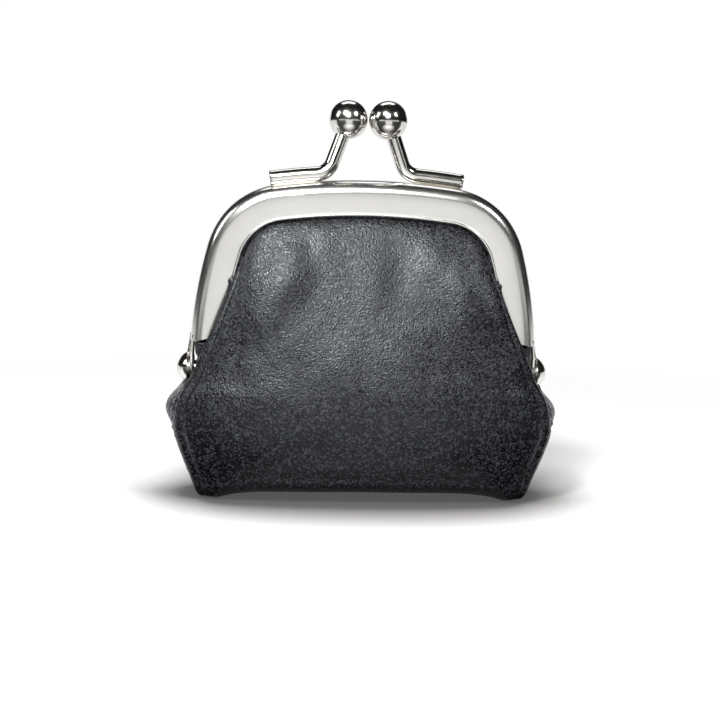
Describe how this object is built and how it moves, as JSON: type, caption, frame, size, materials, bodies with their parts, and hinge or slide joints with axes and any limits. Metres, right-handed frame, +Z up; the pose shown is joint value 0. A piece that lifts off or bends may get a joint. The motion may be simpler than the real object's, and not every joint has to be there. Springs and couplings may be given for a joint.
{
  "type": "clasp-frame coin purse",
  "caption": "Small leather coin purse with a hinged metal clasp frame that opens by pushing its two ball catches past each other.",
  "frame": {"origin": "middle of the footprint, on the surface that the purse stands on", "axes": "+X to the right seen from the front, front face towards -Y, +Z up"},
  "size_m": [0.0906, 0.0322, 0.0917],
  "materials": {
    "leather": "black, finely grained, satin with a faint cool sheen",
    "lining": "dark woven lining, matt",
    "frame_steel": "nickel plated pressed steel, softly polished",
    "clasp_steel": "nickel plated, polished",
    "rivet_steel": "nickel plated, polished",
    "paper_cord": "twisted kraft paper"
  },
  "bodies": {
    "pouch": {"pouch_leather": "leather", "left_gusset": "leather", "right_gusset": "leather", "pouch_lining": "lining", "left_lining_gusset": "lining", "right_lining_gusset": "lining", "left_rivet": "rivet_steel", "right_rivet": "rivet_steel"},
    "front_half": {"front_frame": "frame_steel", "front_leather": "leather", "front_lining": "lining", "front_paper_cord": "paper_cord", "front_clasp_arm": "clasp_steel", "front_clasp_ball": "clasp_steel"},
    "rear_half": {"rear_frame": "frame_steel", "rear_leather": "leather", "rear_lining": "lining", "rear_paper_cord": "paper_cord", "rear_clasp_arm": "clasp_steel", "rear_clasp_ball": "clasp_steel"}
  },
  "joints": [
    {"name": "front_hinge", "type": "hinge", "parent": "pouch", "child": "front_half", "pos_m": [0, 0, 0.0295], "axis": [1, 0, 0], "range_deg": [0, 40]},
    {"name": "rear_hinge", "type": "hinge", "parent": "pouch", "child": "rear_half", "pos_m": [0, 0, 0.0295], "axis": [1, 0, 0], "range_deg": [-40, 0]}
  ],
  "couplings": [
    {"joint": "rear_hinge", "follows": "front_hinge", "ratio": -1}
  ]
}
